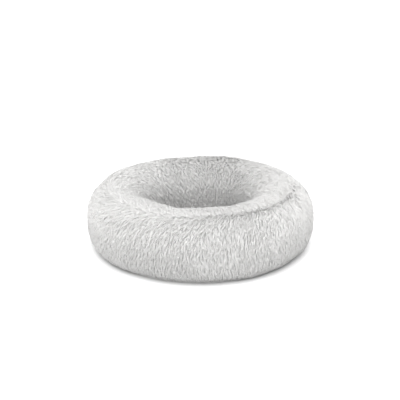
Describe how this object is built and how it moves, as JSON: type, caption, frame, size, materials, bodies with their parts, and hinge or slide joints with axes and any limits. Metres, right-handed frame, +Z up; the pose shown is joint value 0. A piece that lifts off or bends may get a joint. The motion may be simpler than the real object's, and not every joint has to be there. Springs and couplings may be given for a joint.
{
  "type": "pet cushion bed",
  "caption": "Round plush pet bed: a filled ring in long off-white pile around a sunken seat, with a non-slip base and a zip round the back of the base seam.",
  "frame": {"origin": "on the floor at the centre of the round base, with the bed standing flat", "axes": "+Z up, -Y towards the front of the bed, +Y towards the zipped back, +X to the right seen from the front"},
  "size_m": [0.58, 0.58, 0.163],
  "materials": {
    "pile_fabric": "long brushed pile, off-white, matt with a soft sheen",
    "base_cloth": "plain-woven grey cloth with small rubbery grip dots",
    "zip_tape": "off-white twill tape",
    "zip_coil": "off-white nylon coil, semi-gloss",
    "zip_metal": "satin nickel-coloured zinc",
    "ribbon": "white satin ribbon, blank",
    "liner_cloth": "thin white non-woven cloth, matt",
    "filling": "loose white polyester fibre"
  },
  "bodies": {
    "cover": {"outer_wall_front": "pile_fabric", "outer_wall_back": "pile_fabric", "inner_wall_front": "pile_fabric", "inner_wall_back": "pile_fabric", "seat_panel": "pile_fabric", "base_cloth": "base_cloth", "base_binding": "zip_tape", "zip_tape_upper": "zip_tape", "zip_tape_lower": "zip_tape", "zip_coil_upper": "zip_coil", "zip_coil_lower": "zip_coil", "zip_top_stop_upper": "zip_metal", "zip_top_stop_lower": "zip_metal", "zip_bottom_stop": "zip_metal", "care_label": "ribbon", "ring_liner_upper": "liner_cloth", "ring_liner_lower": "liner_cloth", "seat_liner_upper": "liner_cloth", "seat_liner_lower": "liner_cloth", "ring_fill": "filling", "seat_fill": "filling"},
    "slider": {"zip_slider": "zip_metal"},
    "pull": {"zip_pull": "zip_metal"}
  },
  "joints": [
    {"name": "zip_run", "type": "hinge", "parent": "cover", "child": "slider", "pos_m": [0, 0, 0], "axis": [0, 0, 1], "range_deg": [0, 163]},
    {"name": "pull_swing", "type": "hinge", "parent": "slider", "child": "pull", "pos_m": [0.26193, 0.03764, 0.018], "axis": [0, 0, -1], "range_deg": [0, 180]}
  ]
}
